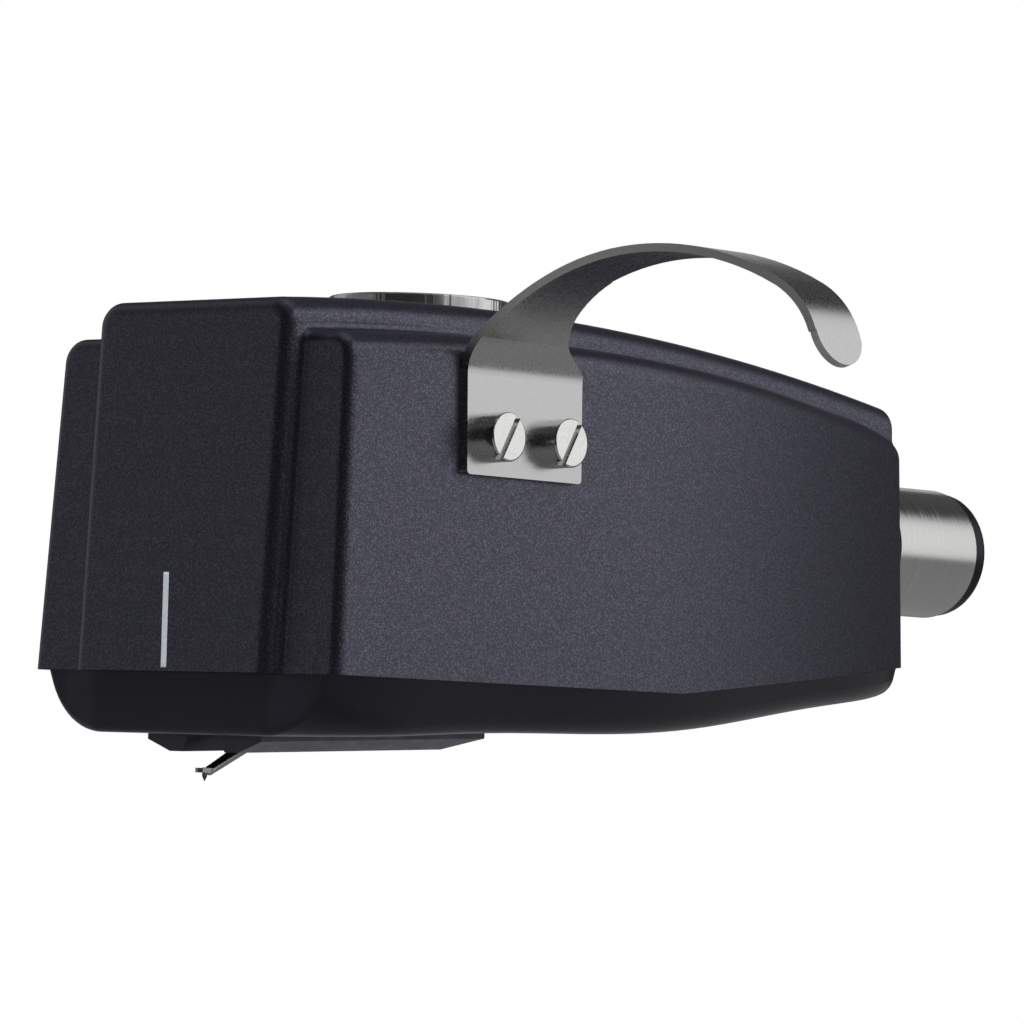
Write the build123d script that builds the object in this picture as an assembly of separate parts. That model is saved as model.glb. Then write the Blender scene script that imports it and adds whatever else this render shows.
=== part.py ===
from build123d import *
import os
from math import cos, radians, sin, sqrt, tan

# A moving-coil pickup built into its own bayonet headshell. Millimetres. The origin is on the
# connector's axis at the shell's rear face, +X runs to the rear along the connector, the finger
# lift stands on the -Y side, and +Z is up.

os.makedirs("parts", exist_ok=True)

# Shell, measured at its lower edge
FRONT_DRAFT_DEG = 2.5
SIDE_DRAFT_DEG = 1.8
REAR_DRAFT_DEG = 2.0
EDGE_DROP = 9.9
EDGE_DROP_REAR = 7.5
EDGE_BEND = 25.0
CHEEK_LENGTH = 53.92
CHEEK_HALF_WIDTH = 11.7
CHEEK_TOP_R = 1.4
CHEEK_FRONT_R = 0.7
REAR_HALF_WIDTH = 7.35
REAR_CORNER_R = 0.4
SIDE_CURVE_START = 33.0
NOSE_PROUD = 1.06
ROOF_HALF_WIDTH = 7.5
ROOF_REAR_HALF_WIDTH = 6.5
ROOF_TOP_R = 1.4
ROOF_FRONT_R = 0.9
ROOF_CROWN_HEIGHT = 11.2
ROOF_CROWN_X = 36.0
ROOF_RADIUS = 215.0
SHELF_DROP = 1.95
STEP_FILLET_R = 0.5
WALL = 2.0
REAR_WALL = 3.5

# Bottom cover
COVER_INSET = 0.28
COVER_REAR_INSET = 0.35
COVER_WALL = 1.2
COVER_DEPTH_NOSE = 3.45
COVER_DEPTH_REAR = 1.55
COVER_TILT_DEG = 2.3
COVER_BEND = 24.0
COVER_LEAN_DEG = 15.0
COVER_FRONT_LEAN_DEG = 25.0
COVER_FRONT_NARROW = 0.7
COVER_SIDE_R = 1.3
COVER_CORNER_SHARE = 0.85
COVER_CORNER_RUN = 7.0
COVER_FRONT_R = 0.4
COVER_REAR_R = 1.1
COVER_NOSE_PROUD = 0.35
COVER_NOSE_IN = 0.9
COVER_NOSE_OUT = 1.8
COVER_NOSE_R = 3.0
LIP_HEIGHT = 1.2
LIP_THICKNESS = 1.0
LIP_LENGTH = 14.0
LIP_X = 42.0
COVER_SCREW_X = 13.0
COVER_SCREW_R = 0.9
COVER_SCREW_HEAD_R = 1.6
COVER_SCREW_HEAD = 0.9
COVER_SCREW_SINK = 0.34
COVER_BOSS_R = 2.8
RIB_LENGTH = 4.6
RIB_HEIGHT = 4.0

# Roof disc
DISC_R = 5.2
DISC_X = 35.8
DISC_PROUD = 0.75
DISC_THICKNESS = 1.6
DISC_TILT_DEG = 0.3
DISC_RIM = 0.9
DISC_DISH = 0.15
DISC_EDGE_R = 0.12
DISC_STUD_R = 1.5
DISC_STUD_LENGTH = 1.6

# Finger lift
LIFT_X = 39.6
LIFT_BOTTOM = 1.4
LIFT_BEND_HEIGHT = 6.9
LIFT_THICKNESS = 0.45
LIFT_PLATE_WIDTH = 9.6
LIFT_RISE_R = 3.1
LIFT_RISE_DEG = 47.6
LIFT_ARCH_R = 16.06
LIFT_ARCH_DEG = 72.6
LIFT_FALL_R = 5.1
LIFT_FALL_DEG = 43.0
LIFT_TIP_LENGTH = 1.8
# Edges of the strip in plan: forward of the plate's middle, and out from the wall
LIFT_FRONT_EDGE = ((4.38, 1.73), (3.94, 4.73), (3.55, 8.73), (3.0, 12.7), (1.09, 24.7))
LIFT_REAR_EDGE = ((-0.4, 6.2), (-0.6, 9.2), (-1.07, 13.7), (-2.58, 24.7))
# Shoulder and neck in side view: behind the plate's middle, and up from the bend
LIFT_SHOULDER_START = 0.5
LIFT_SHOULDER = ((3.9, 1.2), (2.7, 1.95), (2.0, 2.55), (1.4, 3.25))
LIFT_NECK = ((0.9, 4.15), (0.55, 5.0), (0.38, 5.9))
LIFT_CORNER_R = 0.25
LIFT_SCREW_PITCH = 5.14
LIFT_SCREW_HEIGHT = 3.5
LIFT_SCREW_HEAD_R = 1.37
LIFT_SCREW_HEAD = 1.25
LIFT_SCREW_R = 0.8
LIFT_SCREW_LENGTH = 4.2
LIFT_BOSS_R = 1.9
LIFT_BOSS_LENGTH = 2.6
SLOT_WIDTH = 0.36
SLOT_DEPTH = 0.5
HEAD_ROUND = 0.11
LIFT_SLOT_LEAN_DEG = 31.0

# Stylus block
BLOCK_SETBACK = 3.08
BLOCK_LENGTH = 18.0
BLOCK_HALF_WIDTH = 4.38
BLOCK_BOTTOM = 14.22
BLOCK_TOP = 6.0
BLOCK_BEVEL_WIDTH = 1.75
BLOCK_BEVEL_HEIGHT = 0.64
FORK_HALF_WIDTH = 1.58
FORK_TOP_HALF_WIDTH = 1.0
FORK_HEIGHT = 2.9
WINDOW_GAP = 0.15
EAR_REACH = 4.4
EAR_LENGTH = 5.0
EAR_THICKNESS = 1.6
EAR_SETBACK = 9.0
PILLAR_R = 2.1
GENERATOR_SCREW_R = 0.8
GENERATOR_SCREW_LENGTH = 5.0
GENERATOR_SCREW_HEAD_R = 1.4
GENERATOR_SCREW_HEAD = 1.0

# Generator, along the cantilever's axis from its pivot
PIVOT_SETBACK = 7.3
PIVOT_DROP = 11.75
RAKE_DEG = 27.0
YOKE_HALF_WIDTH = 2.5
YOKE_THICKNESS = 1.0
YOKE_GAP = 6.0
YOKE_BELOW = 1.25
YOKE_ABOVE = 6.0
FRONT_YOKE_HOLE_R = 0.9
FRONT_YOKE_SETBACK = 0.95
MAGNET_HEIGHT = 3.8
POLE_PIN_R = 1.2
POLE_PIN_FRONT = 0.95
WIRE_R = 0.12
WIRE_SWING = 0.06
DAMPER_R = 1.15
DAMPER_HOLE_R = 0.35
DAMPER_LENGTH = 0.6
DAMPER_GAP = 0.13
GRUB_R = 0.4
HUB_R = 0.5
HUB_LENGTH = 0.5
ARM_SECTION = 0.36
ARM_REACH = 1.3
ARM_CENTRE = -0.35
COIL_START = 0.62
COIL_LENGTH = 0.5
COIL_BUILD = 0.22

# Cantilever and diamond
CANTILEVER_ROOT_R = 0.45
CANTILEVER_TIP_R = 0.27
CANTILEVER_LENGTH = 7.65
CANTILEVER_WALL = 0.1
CANTILEVER_SOLID_END = 0.7
PADDLE_LENGTH = 0.96
PADDLE_WIDTH = 0.5
PADDLE_THICKNESS = 0.26
STYLUS_SIDE = 0.2
STYLUS_LENGTH = 0.76
STYLUS_POINT = 0.28
STYLUS_POINT_SIDE = 0.017
STYLUS_SETBACK = 0.36

# Terminals and leads
TERMINAL_R = 0.4
TERMINAL_PITCH = 2.2
TERMINAL_DROP = 8.2
TERMINAL_LENGTH = 3.8
TERMINAL_SEAT = 1.5
LEAD_R = 0.35
LEAD_STRAIGHT = 6.0
LEAD_BEND_SHARE = 0.45

# Bayonet connector
TUBE_R = 4.0
TUBE_BORE_R = 3.25
TUBE_LENGTH = 11.5
END_RING = 1.3
END_RING_R = 3.84
END_RING_ROUND = 0.4
FLANGE_R = 5.0
FLANGE_THICKNESS = 1.0
SPIGOT_R = 3.7
NUT_R = 4.9
NUT_THICKNESS = 1.5
NUT_SLOT = 1.2
INSULATOR_R = 3.2
INSULATOR_REACH = 2.5
CONTACT_R = 0.5
CONTACT_SPACING = 3.2
CONTACT_PROUD = 1.2
CONTACT_REACH = 5.5
CONTACT_ROUND = 0.3
LOCK_PIN_X = 2.9
LOCK_PIN_R = 0.75
LOCK_PIN_TOP = 5.3
LOCK_RELIEF_LENGTH = 2.2
LOCK_RELIEF_DEPTH = 0.3
GASKET_R = 4.6
GASKET_THICKNESS = 0.8

# Clearance of a pin, screw or plug in its hole
FIT = 0.03
# Room for cutting tools to pass right through a face
OVER = 1.0

FRONT_DRAFT = tan(radians(FRONT_DRAFT_DEG))
SIDE_DRAFT = tan(radians(SIDE_DRAFT_DEG))
REAR_DRAFT = tan(radians(REAR_DRAFT_DEG))
REAR_EDGE_X = EDGE_DROP * REAR_DRAFT
NOSE_X = -CHEEK_LENGTH - NOSE_PROUD
SIDE_SAG = CHEEK_HALF_WIDTH - REAR_HALF_WIDTH
SIDE_RUN = SIDE_CURVE_START + REAR_EDGE_X
SIDE_RADIUS = (SIDE_RUN**2 + SIDE_SAG**2) / (2 * SIDE_SAG)
BLOCK_FRONT = -NOSE_X - BLOCK_SETBACK
BLOCK_REAR = BLOCK_FRONT - BLOCK_LENGTH
EAR_X = BLOCK_FRONT - EAR_SETBACK
PIVOT_X = BLOCK_FRONT - PIVOT_SETBACK
COVER_TILT = tan(radians(COVER_TILT_DEG))


def rod(x0, x1, radius, y=0.0, z=0.0):
    """A cylinder along X, from x0 to x1."""
    low = (Align.CENTER, Align.CENTER, Align.MIN)
    return Location((x0, y, z), (0, 90, 0)) * Cylinder(radius, x1 - x0, align=low)


def post(x, y, z0, z1, radius):
    """A cylinder along Z, from z0 to z1."""
    low = (Align.CENTER, Align.CENTER, Align.MIN)
    return Pos(x, y, z0) * Cylinder(radius, z1 - z0, align=low)


def span_box(x0, x1, y0, y1, z0, z1):
    """A box given by its two opposite corners."""
    centre = Pos((x0 + x1) / 2, (y0 + y1) / 2, (z0 + z1) / 2)
    return centre * Box(x1 - x0, y1 - y0, z1 - z0)


def across(points):
    """A prism right across the shell, from a side profile given as X and Z pairs."""
    face = make_face(Polyline(*points, close=True))
    return extrude(Plane.XZ * face, amount=2 * CHEEK_HALF_WIDTH, both=True)


def wall_half_width(z):
    """Half width of the straight cheek wall at height z."""
    return CHEEK_HALF_WIDTH - (z + EDGE_DROP) * SIDE_DRAFT


def edge_height(x):
    """Height of the shell's lower edge at x: level in front, rising straight to the rear."""
    slope = (EDGE_DROP - EDGE_DROP_REAR) / EDGE_BEND
    return -EDGE_DROP + max(0.0, x + EDGE_BEND) * slope


def roof_height(x):
    """Height of the roof's arc at x."""
    return ROOF_CROWN_HEIGHT - ROOF_RADIUS + sqrt(ROOF_RADIUS**2 - (x + ROOF_CROWN_X) ** 2)


def cover_height(x):
    """Height of the cover's flat underside at x, before the bend is rounded."""
    nose = -EDGE_DROP - COVER_DEPTH_NOSE
    bend = nose + (-COVER_BEND - NOSE_X) * COVER_TILT
    if x <= -COVER_BEND:
        return nose + (x - NOSE_X) * COVER_TILT
    rear = -EDGE_DROP_REAR - COVER_DEPTH_REAR
    return bend + (x + COVER_BEND) * (rear - bend) / COVER_BEND


def side_line(x, inset):
    """Half width of the cheek plan at x: straight, then drawn in by an arc to the rear."""
    if x <= -SIDE_CURVE_START:
        return CHEEK_HALF_WIDTH - inset
    centre = CHEEK_HALF_WIDTH - SIDE_RADIUS
    return centre + sqrt((SIDE_RADIUS - inset) ** 2 - (x + SIDE_CURVE_START) ** 2)


def cheek_plan(inset):
    """Plan of the wide body, longer at both ends than the part that is kept."""
    front = NOSE_X - OVER
    rear = REAR_EDGE_X + OVER
    start = -SIDE_CURVE_START
    middle = (start + rear) / 2
    half = side_line(start, inset)
    waist = side_line(middle, inset)
    end = side_line(rear, inset)
    lines = [
        Polyline((front, half), (front, -half), (start, -half)),
        ThreePointArc((start, -half), (middle, -waist), (rear, -end)),
        Line((rear, -end), (rear, end)),
        ThreePointArc((rear, end), (middle, waist), (start, half)),
        Line((start, half), (front, half)),
    ]
    return make_face([edge for line in lines for edge in line.edges()])


def roof_plan(inset):
    """Plan of the narrow body under the roof, tapered to the rear."""
    front = NOSE_X - OVER
    rear = REAR_EDGE_X + OVER
    taper = (ROOF_HALF_WIDTH - ROOF_REAR_HALF_WIDTH) / -NOSE_X
    half = ROOF_HALF_WIDTH + OVER * taper - inset
    end = ROOF_REAR_HALF_WIDTH - rear * taper - inset
    return make_face(Polyline((front, -half), (rear, -end), (rear, end), (front, half), close=True))


def end_walls(front, rear):
    """The slice of space between a front and a rear wall, both leaning in as they rise."""
    low = -EDGE_DROP - COVER_DEPTH_NOSE
    top = ROOF_CROWN_HEIGHT + OVER
    down = low + EDGE_DROP
    up = top + EDGE_DROP
    return across(
        [
            (front + down * FRONT_DRAFT, low),
            (rear - down * REAR_DRAFT, low),
            (rear - up * REAR_DRAFT, top),
            (front + up * FRONT_DRAFT, top),
        ]
    )


def under_roof(drop):
    """Everything below the roof's arc lowered by drop."""
    x0 = NOSE_X - OVER
    x1 = REAR_EDGE_X + OVER
    low = -EDGE_DROP - OVER
    arc = ThreePointArc(
        (x0, roof_height(x0) - drop),
        (-ROOF_CROWN_X, ROOF_CROWN_HEIGHT - drop),
        (x1, roof_height(x1) - drop),
    )
    rest = Polyline((x1, roof_height(x1) - drop), (x1, low), (x0, low), (x0, roof_height(x0) - drop))
    return extrude(Plane.XZ * make_face([arc, rest]), amount=2 * CHEEK_HALF_WIDTH, both=True)


def drawn_up(plan, draft_deg):
    """The plan drawn up from the shell's lower edge with the mould's draft."""
    height = EDGE_DROP + ROOF_CROWN_HEIGHT + OVER
    return extrude(Pos(0, 0, -EDGE_DROP) * plan, amount=height, taper=draft_deg)


def above_edge():
    """Everything above the shell's lower edge."""
    x0 = NOSE_X - OVER
    x1 = REAR_EDGE_X + OVER
    top = ROOF_CROWN_HEIGHT + OVER
    line = [(x0, -EDGE_DROP), (-EDGE_BEND, -EDGE_DROP), (x1, edge_height(x1)), (x1, top), (x0, top)]
    return across(line)


def end_rounded(body, end, radius):
    """The body with the outline of its front face, 0, or its rear face, -1, rounded."""
    face = body.faces().sort_by(Axis.X)[end]
    outline = [edge for edge in face.edges() if edge.center().Z > -EDGE_DROP + FIT]
    return fillet(outline, radius)


def rounded(body, top_r, front_r):
    """The body with its long top edges rounded, then the outline of its front face."""
    top = body.faces().sort_by(Axis.Z)[-1]
    long_edges = [edge for edge in top.edges() if edge.bounding_box().size.X > 2 * top_r]
    return end_rounded(fillet(long_edges, top_r), 0, front_r)


def shell_outside():
    """Cheeks and roof, joined with a small fillet in the step between them."""
    cheeks = drawn_up(cheek_plan(0), SIDE_DRAFT_DEG) & under_roof(SHELF_DROP)
    cheeks &= end_walls(-CHEEK_LENGTH, REAR_EDGE_X)
    cheeks = rounded(cheeks, CHEEK_TOP_R, CHEEK_FRONT_R)
    roof = drawn_up(roof_plan(0), 0) & under_roof(0) & end_walls(NOSE_X, REAR_EDGE_X)
    roof = rounded(roof, ROOF_TOP_R, ROOF_FRONT_R)
    both = cheeks + roof
    inner_corner = both.edges().filter_by(
        lambda edge: ROOF_REAR_HALF_WIDTH < abs(edge.center().Y) < ROOF_HALF_WIDTH + FIT
        and edge.center().Z < roof_height(edge.center().X) - ROOF_TOP_R - FIT
        and -CHEEK_LENGTH < edge.center().X < -2 * CHEEK_TOP_R
    )
    return end_rounded(fillet(inner_corner, STEP_FILLET_R), -1, REAR_CORNER_R)


def shell_inside():
    """The hollow: the same two bodies, a wall further in."""
    walls = end_walls(-CHEEK_LENGTH + WALL, REAR_EDGE_X - REAR_WALL)
    cheeks = drawn_up(cheek_plan(WALL), SIDE_DRAFT_DEG) & under_roof(SHELF_DROP + WALL) & walls
    roof = drawn_up(roof_plan(WALL), 0) & under_roof(WALL)
    roof &= end_walls(NOSE_X + WALL, REAR_EDGE_X - REAR_WALL)
    return cheeks + roof


def lift_frame(x, height):
    """Frame on the near wall: its z axis leaves the wall, square to its draft."""
    lean = radians(SIDE_DRAFT_DEG)
    origin = (x, -wall_half_width(height), height)
    return Plane(origin, x_dir=(1, 0, 0), z_dir=(0, -cos(lean), sin(lean))).location


def lift_screw_frames():
    half = LIFT_SCREW_PITCH / 2
    return [lift_frame(-LIFT_X + side * half, LIFT_SCREW_HEIGHT) for side in (-1, 1)]


def disc_frame():
    """Frame in the roof disc's top face, tilted a little down to the rear."""
    origin = (-DISC_X, 0, roof_height(-DISC_X) + DISC_PROUD)
    lean = radians(DISC_TILT_DEG)
    return Plane(origin, x_dir=(cos(lean), 0, -sin(lean)), z_dir=(sin(lean), 0, cos(lean))).location


def drill(radius, z0, z1):
    """A cylinder about the local Z axis."""
    return post(0, 0, z0, z1, radius)


PILLAR_Y = BLOCK_HALF_WIDTH + EAR_REACH / 2
PILLAR_PLACES = [(-EAR_X, -PILLAR_Y), (-EAR_X, PILLAR_Y)]


def make_shell():
    outside = shell_outside()
    shell = outside - shell_inside()
    bosses = [post(x, y, -BLOCK_TOP, ROOF_CROWN_HEIGHT, PILLAR_R) for x, y in PILLAR_PLACES]
    depth = WALL + LIFT_BOSS_LENGTH
    bosses += [frame * drill(LIFT_BOSS_R, -depth, 0) for frame in lift_screw_frames()]
    rib_x = -COVER_SCREW_X
    half_rib = RIB_LENGTH / 2
    rib_top = edge_height(rib_x) + RIB_HEIGHT
    rib = span_box(
        rib_x - half_rib, rib_x + half_rib, -CHEEK_HALF_WIDTH, CHEEK_HALF_WIDTH, -EDGE_DROP, rib_top
    )
    for boss in bosses + [rib]:
        shell += boss & outside
    shell &= above_edge()
    for x, y in PILLAR_PLACES:
        depth = GENERATOR_SCREW_LENGTH - EAR_THICKNESS + OVER
        shell -= post(x, y, -BLOCK_TOP - OVER, -BLOCK_TOP + depth, GENERATOR_SCREW_R + FIT)
    for frame in lift_screw_frames():
        shell -= frame * drill(LIFT_SCREW_R + FIT, -WALL - LIFT_BOSS_LENGTH - OVER, OVER)
    shell -= post(rib_x, 0, -EDGE_DROP, rib_top + OVER, COVER_SCREW_R + FIT)
    shell -= rod(-REAR_WALL - OVER, OVER, SPIGOT_R + FIT)
    shell -= rod(-FLANGE_THICKNESS, OVER, FLANGE_R + FIT)
    shell -= rod(-REAR_WALL - NUT_THICKNESS - OVER, -REAR_WALL, NUT_R + FIT)
    recess = drill(DISC_R + FIT, -DISC_THICKNESS, OVER)
    stud = drill(DISC_STUD_R + FIT, -DISC_THICKNESS - DISC_STUD_LENGTH - OVER, 0)
    return shell - disc_frame() * (recess + stud)


def cover_section(x, inset, raise_by):
    """Cross section of the tub at x: leaning sides, rounded lower corners, flat bottom.

    At the front it is narrower, leans more and has long corners; all three run out together.
    """
    run_out = (1 - min(1.0, max(0.0, (x + CHEEK_LENGTH) / COVER_CORNER_RUN))) ** 2
    lean = radians(COVER_LEAN_DEG + (COVER_FRONT_LEAN_DEG - COVER_LEAN_DEG) * run_out)
    turn = radians(90) - lean
    seam = edge_height(x)
    low = cover_height(x) + raise_by
    half = side_line(x, inset) - COVER_FRONT_NARROW * run_out
    corner = half - (seam - low) * tan(lean)
    long = COVER_CORNER_SHARE * (seam - low) / cos(lean)
    short = min(long, max(COVER_SIDE_R - raise_by, COVER_WALL / 4) * tan(turn / 2))
    reach = short + (long - short) * run_out
    radius = reach / tan(turn / 2)
    flat = corner - reach
    side = (corner + reach * sin(lean), low + reach * cos(lean))
    knee = (flat + radius * sin(turn / 2), low + radius * (1 - cos(turn / 2)))
    rim = half - seam * tan(lean)
    lines = [
        Polyline(side, (rim, 0), (-rim, 0), (-side[0], side[1])),
        ThreePointArc((-side[0], side[1]), (-knee[0], knee[1]), (-flat, low)),
        Line((-flat, low), (flat, low)),
        ThreePointArc((flat, low), knee, side),
    ]
    return Plane.YZ.offset(x) * make_face([edge for line in lines for edge in line.edges()])


def cover_front(inset):
    """All that lies behind the cover's front: a proud nose, run out softly to the cheeks."""
    cheek = -CHEEK_LENGTH + inset
    nose = cheek - COVER_NOSE_PROUD
    inner = ROOF_HALF_WIDTH - COVER_NOSE_IN
    outer = ROOF_HALF_WIDTH + COVER_NOSE_OUT
    wide = 2 * CHEEK_HALF_WIDTH
    rear = REAR_EDGE_X + 2 * COVER_NOSE_R + OVER
    half = [(nose, inner), (cheek, outer), (cheek, wide), (rear, wide)]
    line = [(x, -y) for x, y in reversed(half)] + half
    plan = make_face(FilletPolyline(*line, radius=COVER_NOSE_R, close=True))
    return extrude(plan, amount=BLOCK_BOTTOM, dir=(0, 0, -1))


def cover_body(inset, rear_inset, raise_by):
    """The tub before it is hollowed: its lower corners run out from large to small."""
    front = -CHEEK_LENGTH
    rear = REAR_EDGE_X - rear_inset
    run = [front + COVER_CORNER_RUN * part for part in (0, 0.25, 0.5, 0.75, 1)]
    bend = [-COVER_BEND - COVER_WALL, -COVER_BEND + COVER_WALL]
    stations = [NOSE_X - OVER, *run, -SIDE_CURVE_START, *bend, -COVER_BEND / 2, rear]
    return loft([cover_section(x, inset, raise_by) for x in stations]) & cover_front(inset)


def cover_outside():
    tub = cover_body(COVER_INSET, COVER_REAR_INSET, 0)
    rear = tub.faces().sort_by(Axis.X)[-1]
    tub = fillet([edge for edge in rear.edges() if edge.center().Z < -FIT], COVER_REAR_R)
    outer = ROOF_HALF_WIDTH + COVER_NOSE_OUT + OVER
    outline = []
    for face in tub.faces():
        if face.normal_at().X < -0.5:
            outline += face.edges().filter_by(
                lambda edge: edge.center().Z < -FIT
                and (edge.bounding_box().size.Y > FIT or abs(edge.center().Y) > outer)
            )
    return fillet(outline, COVER_FRONT_R)


def make_bottom_cover():
    outside = cover_outside()
    inset = COVER_INSET + COVER_WALL
    cover = outside - cover_body(inset, inset, COVER_WALL)
    boss = post(-COVER_SCREW_X, 0, -EDGE_DROP - COVER_DEPTH_NOSE, 0, COVER_BOSS_R)
    cover += boss & outside
    cover -= above_edge()
    cover -= span_box(
        -BLOCK_FRONT - WINDOW_GAP,
        -BLOCK_REAR + WINDOW_GAP,
        -BLOCK_HALF_WIDTH - WINDOW_GAP,
        BLOCK_HALF_WIDTH + WINDOW_GAP,
        -BLOCK_BOTTOM - OVER,
        0,
    )
    lip_y = wall_half_width(-EDGE_DROP + LIP_HEIGHT) - WALL - FIT
    foot = COVER_WALL
    for side in (-1, 1):
        outer = side * lip_y
        inner = side * (lip_y - LIP_THICKNESS)
        cover += span_box(
            -LIP_X - LIP_LENGTH / 2,
            -LIP_X + LIP_LENGTH / 2,
            min(outer, inner),
            max(outer, inner),
            -EDGE_DROP - foot,
            -EDGE_DROP + LIP_HEIGHT,
        )
        rim = side * CHEEK_HALF_WIDTH
        ledge = span_box(
            -LIP_X - LIP_LENGTH / 2,
            -LIP_X + LIP_LENGTH / 2,
            min(rim, inner),
            max(rim, inner),
            -EDGE_DROP - foot,
            -EDGE_DROP,
        )
        cover += ledge & outside
    seat = cover_screw_seat()
    cover -= post(-COVER_SCREW_X, 0, -EDGE_DROP - COVER_DEPTH_NOSE, seat, COVER_SCREW_HEAD_R + 2 * FIT)
    return cover - post(-COVER_SCREW_X, 0, seat - OVER, 0, COVER_SCREW_R + FIT)


def cover_screw_seat():
    """Height of the ledge under which the cover screw's head sits."""
    return cover_height(-COVER_SCREW_X) + COVER_SCREW_HEAD + COVER_SCREW_SINK


def slotted_head(radius, height, slot_turn):
    """A round head on the local Z axis, from z 0 up, with a screwdriver slot."""
    slot = Pos(0, 0, height) * Rot(0, 0, slot_turn) * Box(SLOT_WIDTH, 3 * radius, 2 * SLOT_DEPTH)
    head = drill(radius, 0, height)
    rim = head.faces().sort_by(Axis.Z)[-1].edges()
    return fillet(rim, HEAD_ROUND) - slot


def make_cover_screw():
    seat = cover_screw_seat()
    head = Location((-COVER_SCREW_X, 0, seat), (180, 0, 0)) * slotted_head(
        COVER_SCREW_HEAD_R, COVER_SCREW_HEAD, 0
    )
    rib_top = edge_height(-COVER_SCREW_X) + RIB_HEIGHT
    return head + post(-COVER_SCREW_X, 0, seat, rib_top, COVER_SCREW_R)


def make_top_disc():
    disc = drill(DISC_R, -DISC_THICKNESS, 0)
    disc = fillet(disc.faces().sort_by(Axis.Z)[-1].edges(), DISC_EDGE_R)
    disc -= drill(DISC_R - DISC_RIM, -DISC_DISH, OVER)
    disc += drill(DISC_STUD_R, -DISC_THICKNESS - DISC_STUD_LENGTH, -DISC_THICKNESS)
    return disc_frame() * disc


def lift_path():
    """The strip's back face from the plate's lower edge to the tip, in Y and Z."""
    lean = radians(SIDE_DRAFT_DEG)
    foot = (-wall_half_width(LIFT_BOTTOM), LIFT_BOTTOM)
    bend = (-wall_half_width(LIFT_BEND_HEIGHT), LIFT_BEND_HEIGHT)
    plate = Line(foot, bend)
    rise = JernArc(bend, (sin(lean), cos(lean)), LIFT_RISE_R, LIFT_RISE_DEG)
    arch = JernArc(rise @ 1, rise % 1, LIFT_ARCH_R, LIFT_ARCH_DEG)
    fall = JernArc(arch @ 1, arch % 1, LIFT_FALL_R, LIFT_FALL_DEG)
    tip = Line(fall @ 1, fall @ 1 + (fall % 1) * LIFT_TIP_LENGTH)
    return [plate, rise, arch, fall, tip]


def lift_outline():
    """Plan of the lift: the plate's full width at the wall, then the curved strip."""
    side_y = -wall_half_width(LIFT_BEND_HEIGHT)
    half = LIFT_PLATE_WIDTH / 2
    front = [(-LIFT_X - half, side_y)] + [(-LIFT_X - dx, side_y - dy) for dx, dy in LIFT_FRONT_EDGE]
    rear = [(-LIFT_X - dx, side_y - dy) for dx, dy in LIFT_REAR_EDGE]
    step = (-LIFT_X + half, rear[0][1])
    plate = Polyline(front[0], (front[0][0], 0), (step[0], 0), step, rear[0])
    lines = [Spline(*front), Line(front[-1], rear[-1]), Spline(*rear), plate]
    return make_face([edge for line in lines for edge in line.edges()])


def lift_waste():
    """What is cut away behind the neck, between the plate's shoulder and the strip."""
    half = LIFT_PLATE_WIDTH / 2
    line = [(half, LIFT_SHOULDER_START), *LIFT_SHOULDER, *LIFT_NECK]
    points = [(-LIFT_X + dx, LIFT_BEND_HEIGHT + dz) for dx, dz in line]
    top = LIFT_BEND_HEIGHT + LIFT_ARCH_R
    right = -LIFT_X + half + OVER
    rest = Polyline(points[-1], (points[-1][0], top), (right, top), (right, points[0][1]), points[0])
    face = make_face([*Spline(*points).edges(), *rest.edges()])
    depth = wall_half_width(LIFT_BEND_HEIGHT) + LIFT_REAR_EDGE[0][1]
    return extrude(Plane.XZ * face, amount=depth, dir=(0, -1, 0))


def edge_at(points, reach):
    """Where one of the strip's edges lies, so far out from the wall, along its last stretch."""
    (x0, y0), (x1, y1) = points[-2:]
    return x0 + (x1 - x0) * (reach - y0) / (y1 - y0)


def lift_tip_waste():
    """What is cut off the strip's square end to leave a half round."""
    tip = lift_path()[-1]
    end = tip @ 1
    way = tip % 1
    reach = -wall_half_width(LIFT_BEND_HEIGHT) - end.X
    front = edge_at(LIFT_FRONT_EDGE, reach)
    rear = edge_at(LIFT_REAR_EDGE, reach)
    radius = (front - rear) / 2
    origin = (-LIFT_X - (front + rear) / 2, end.X, end.Y)
    frame = Plane(origin, x_dir=(1, 0, 0), z_dir=(0, way.X, way.Y)).location
    square = span_box(-2 * radius, 2 * radius, -OVER, OVER, -radius, OVER)
    return frame * (square - Location((0, 0, -radius), (90, 0, 0)) * Cylinder(radius, 4 * OVER))


def make_finger_lift():
    path = Plane.YZ * Wire([edge for part in lift_path() for edge in part.edges()])
    lean = radians(SIDE_DRAFT_DEG)
    foot = (-LIFT_X, -wall_half_width(LIFT_BOTTOM), LIFT_BOTTOM)
    start = Plane(foot, x_dir=(1, 0, 0), z_dir=(0, sin(lean), cos(lean)))
    section = start * Pos(0, -LIFT_THICKNESS / 2) * Rectangle(LIFT_PLATE_WIDTH, LIFT_THICKNESS)
    band = sweep(section, path=path)
    height = LIFT_BEND_HEIGHT + LIFT_ARCH_R
    band &= extrude(lift_outline(), amount=height, dir=(0, 0, 1))
    band -= lift_waste()
    band -= lift_tip_waste()
    short = band.edges().filter_by(lambda edge: edge.length < LIFT_THICKNESS * 1.1)
    low = [edge for edge in short if edge.center().Z < LIFT_BOTTOM + LIFT_THICKNESS]
    band = fillet(low, LIFT_CORNER_R)
    for frame in lift_screw_frames():
        band -= frame * drill(LIFT_SCREW_R + 2 * FIT, -OVER, OVER)
    return band


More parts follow.
